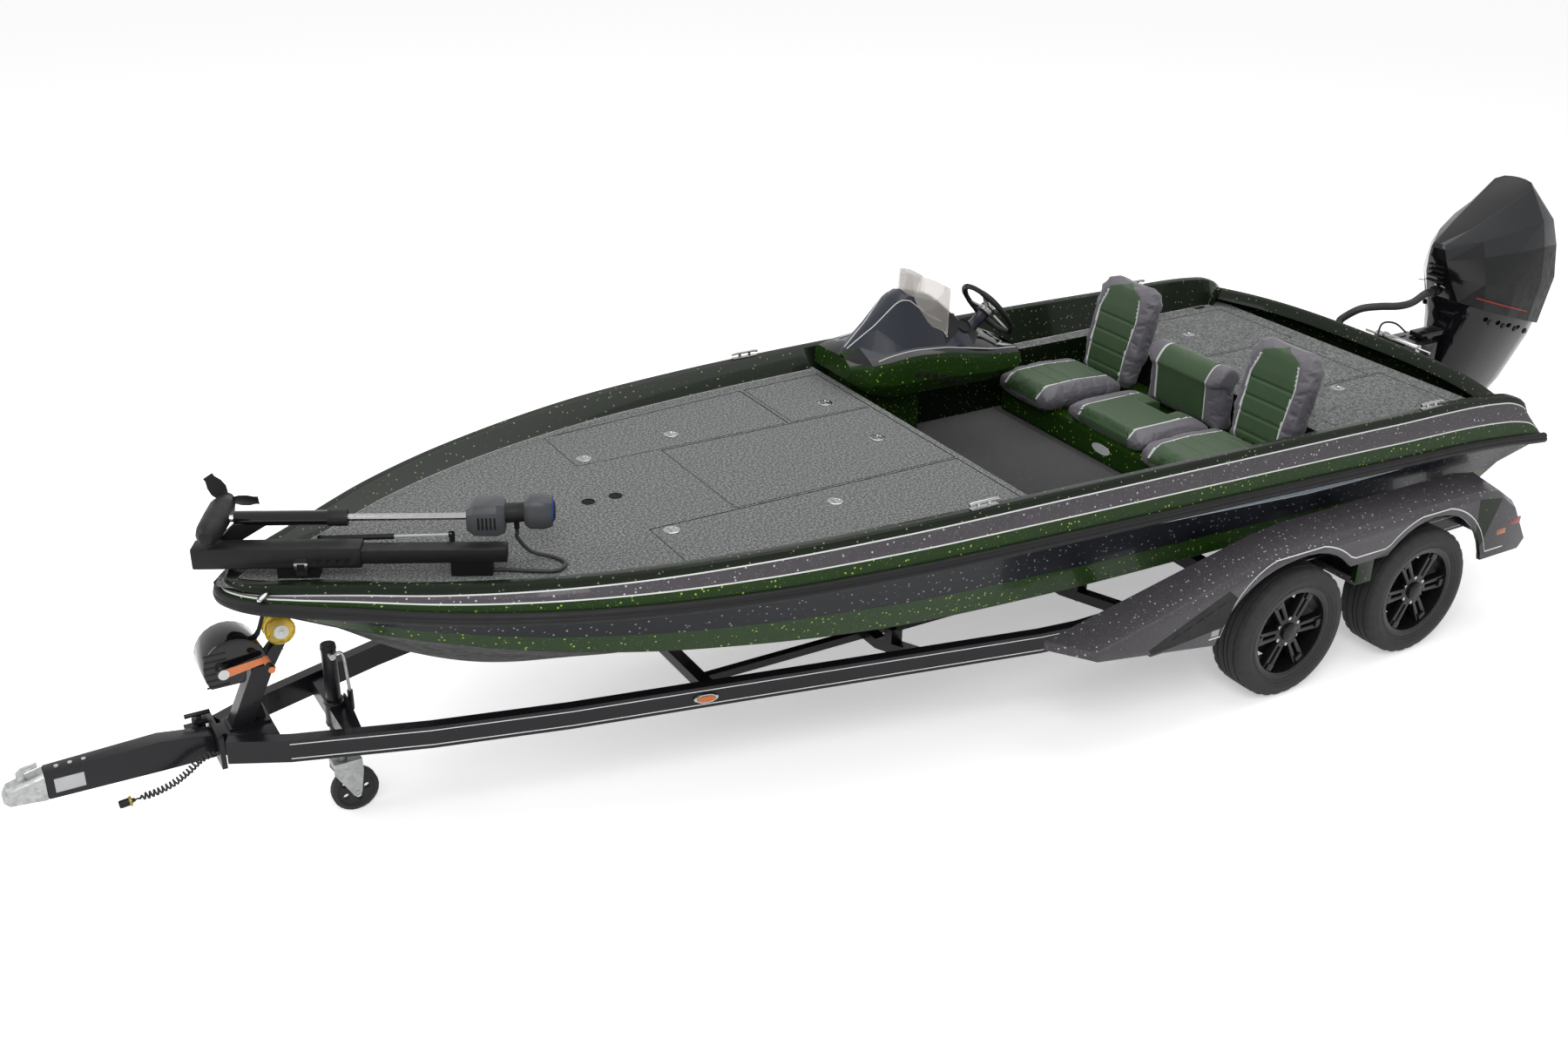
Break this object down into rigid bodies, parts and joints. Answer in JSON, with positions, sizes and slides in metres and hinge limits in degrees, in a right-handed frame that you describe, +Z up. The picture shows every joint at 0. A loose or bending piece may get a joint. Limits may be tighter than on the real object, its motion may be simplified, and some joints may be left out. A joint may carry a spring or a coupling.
{
  "type": "bass boat on trailer",
  "caption": "Low decked fishing boat with cockpit seats, storage lids, outboard and bow trolling motor, on a tandem-axle trailer with a swing tongue and caster jack.",
  "frame": {"origin": "on the ground, under the centre of the bounding box", "axes": "+X towards the stern, +Y to starboard, +Z up; the trailer's coupler is at -X"},
  "size_m": [8.625, 2.58, 1.96],
  "materials": {
    "black_plastic": "satin",
    "cap_flake": "gloss",
    "carpet": "matte",
    "frame_paint": "satin",
    "green_flake": "gloss",
    "hull_flake": "gloss",
    "motor_grey": "satin",
    "rim_black": "satin",
    "rub_rail": "satin",
    "smoke_clear": "gloss",
    "tyre_rubber": "matte",
    "vinyl": "satin",
    "yellow_roller": "gloss",
    "zinc": "satin"
  },
  "bodies": {
    "boat_and_trailer": {"axle_front": "frame_paint", "axle_rear": "frame_paint", "bow_rollers": "yellow_roller", "bunk_port": "carpet", "bunk_starboard": "carpet", "console": "green_flake", "cross_frame": "frame_paint", "deck_cap": "cap_flake", "fender_port": "cap_flake", "fender_starboard": "cap_flake", "hull": "hull_flake", "jack_tube": "frame_paint", "rub_rail": "rub_rail", "seat_back_centre": "vinyl", "seat_back_port": "vinyl", "seat_back_starboard": "vinyl", "seat_box": "green_flake", "seat_cushion_centre": "vinyl", "seat_cushion_port": "vinyl", "seat_cushion_starboard": "vinyl", "side_rail_port": "frame_paint", "side_rail_starboard": "frame_paint", "tongue_hinge": "frame_paint", "transom_bracket": "black_plastic", "trolling_base": "black_plastic", "winch_cover": "black_plastic", "winch_post": "frame_paint", "windshield": "smoke_clear"},
    "wheel_front_port": {"tyre_front_port": "tyre_rubber", "rim_front_port": "rim_black"},
    "wheel_front_starboard": {"tyre_front_starboard": "tyre_rubber", "rim_front_starboard": "rim_black"},
    "wheel_rear_port": {"tyre_rear_port": "tyre_rubber", "rim_rear_port": "rim_black"},
    "wheel_rear_starboard": {"tyre_rear_starboard": "tyre_rubber", "rim_rear_starboard": "rim_black"},
    "tongue": {"swing_tongue": "frame_paint", "coupler": "zinc"},
    "helm_wheel": {"steering_wheel": "black_plastic"},
    "jack_leg": {"jack_leg": "zinc"},
    "caster": {"caster_fork": "zinc"},
    "caster_wheel": {"caster_wheel": "tyre_rubber"},
    "swivel": {"swivel_bracket": "black_plastic"},
    "outboard": {"motor_leg": "motor_grey", "motor_cowl": "motor_grey"},
    "propeller": {"propeller": "zinc"},
    "trolling_arm": {"trolling_arm": "black_plastic"},
    "trolling_motor": {"trolling_motor": "black_plastic"},
    "trolling_propeller": {"trolling_propeller": "black_plastic"},
    "lid_front_port": {"lid_front_port": "carpet"},
    "lid_front_centre": {"lid_front_centre": "carpet"},
    "lid_front_starboard": {"lid_front_starboard": "carpet"},
    "lid_helm_starboard": {"lid_helm_starboard": "carpet"},
    "lid_aft_port": {"lid_aft_port": "carpet"},
    "lid_aft_centre": {"lid_aft_centre": "carpet"},
    "lid_aft_starboard": {"lid_aft_starboard": "carpet"}
  },
  "joints": [
    {"name": "wheel_front_port_roll", "type": "hinge", "parent": "boat_and_trailer", "child": "wheel_front_port", "pos_m": [1.2325, -1.1745, 0.34], "axis": [0, 1, 0], "continuous": true},
    {"name": "wheel_front_starboard_roll", "type": "hinge", "parent": "boat_and_trailer", "child": "wheel_front_starboard", "pos_m": [1.2325, 1.1745, 0.34], "axis": [0, 1, 0], "continuous": true},
    {"name": "wheel_rear_port_roll", "type": "hinge", "parent": "boat_and_trailer", "child": "wheel_rear_port", "pos_m": [2.1125, -1.1745, 0.34], "axis": [0, 1, 0], "continuous": true},
    {"name": "wheel_rear_starboard_roll", "type": "hinge", "parent": "boat_and_trailer", "child": "wheel_rear_starboard", "pos_m": [2.1125, 1.1745, 0.34], "axis": [0, 1, 0], "continuous": true},
    {"name": "tongue_swing", "type": "hinge", "parent": "boat_and_trailer", "child": "tongue", "pos_m": [-3.5525, 0.085, 0.506], "axis": [0, 0, -1], "range_deg": [0, 100]},
    {"name": "lid_front_port_hinge", "type": "hinge", "parent": "boat_and_trailer", "child": "lid_front_port", "pos_m": [-1.7375, -0.738, 1.203], "axis": [0.9967, -0.0806, 0], "range_deg": [0, 85]},
    {"name": "lid_front_centre_hinge", "type": "hinge", "parent": "boat_and_trailer", "child": "lid_front_centre", "pos_m": [-1.3175, 0, 1.203], "axis": [0, -1, 0], "range_deg": [0, 85]},
    {"name": "lid_front_starboard_hinge", "type": "hinge", "parent": "boat_and_trailer", "child": "lid_front_starboard", "pos_m": [-1.7375, 0.738, 1.203], "axis": [-0.9957, -0.0923, 0], "range_deg": [0, 85]},
    {"name": "lid_helm_starboard_hinge", "type": "hinge", "parent": "boat_and_trailer", "child": "lid_helm_starboard", "pos_m": [-0.6075, 0.84, 1.203], "axis": [-0.9984, -0.0567, 0], "range_deg": [0, 85]},
    {"name": "lid_aft_port_hinge", "type": "hinge", "parent": "boat_and_trailer", "child": "lid_aft_port", "pos_m": [1.9125, -0.9, 1.103], "axis": [1, 0, 0], "range_deg": [0, 85]},
    {"name": "lid_aft_centre_hinge", "type": "hinge", "parent": "boat_and_trailer", "child": "lid_aft_centre", "pos_m": [1.9125, 0, 1.103], "axis": [0, -1, 0], "range_deg": [0, 85]},
    {"name": "lid_aft_starboard_hinge", "type": "hinge", "parent": "boat_and_trailer", "child": "lid_aft_starboard", "pos_m": [1.9125, 0.9, 1.103], "axis": [-1, 0, 0], "range_deg": [0, 85]},
    {"name": "helm", "type": "hinge", "parent": "boat_and_trailer", "child": "helm_wheel", "pos_m": [0.7125, 0.66, 1.435], "axis": [-0.788, 0, -0.6157], "range_deg": [-720, 720]},
    {"name": "jack_height", "type": "slide", "parent": "boat_and_trailer", "child": "jack_leg", "axis": [0, 0, 1], "range_m": [-0.15, 0.09]},
    {"name": "caster_swivel", "type": "hinge", "parent": "jack_leg", "child": "caster", "pos_m": [-3.0275, 0, 0.262], "axis": [0, 0, 1], "continuous": true},
    {"name": "caster_roll", "type": "hinge", "parent": "caster", "child": "caster_wheel", "pos_m": [-2.9825, 0, 0.1016], "axis": [0, 1, 0], "continuous": true},
    {"name": "motor_tilt", "type": "hinge", "parent": "boat_and_trailer", "child": "swivel", "pos_m": [3.3125, 0, 1.045], "axis": [0, -1, 0], "range_deg": [0, 65]},
    {"name": "motor_steer", "type": "hinge", "parent": "swivel", "child": "outboard", "pos_m": [3.4075, 0, 1.045], "axis": [0, 0, 1], "range_deg": [-30, 30]},
    {"name": "propeller_spin", "type": "hinge", "parent": "outboard", "child": "propeller", "pos_m": [3.9985, 0, 0.34], "axis": [1, 0, 0], "continuous": true},
    {"name": "trolling_deploy", "type": "hinge", "parent": "boat_and_trailer", "child": "trolling_arm", "pos_m": [-3.3875, 0.165, 1.285], "axis": [-0.454, -0.891, 0], "range_deg": [0, 90]},
    {"name": "trolling_depth", "type": "slide", "parent": "trolling_arm", "child": "trolling_motor", "axis": [-0.891, 0.454, 0], "range_m": [0, 0.55]},
    {"name": "trolling_propeller_spin", "type": "hinge", "parent": "trolling_motor", "child": "trolling_propeller", "pos_m": [-3.28495, 0.30018, 1.4], "axis": [0.454, 0.891, 0], "continuous": true}
  ],
  "couplings": [
    {"joint": "helm", "follows": "motor_steer", "ratio": 24}
  ]
}
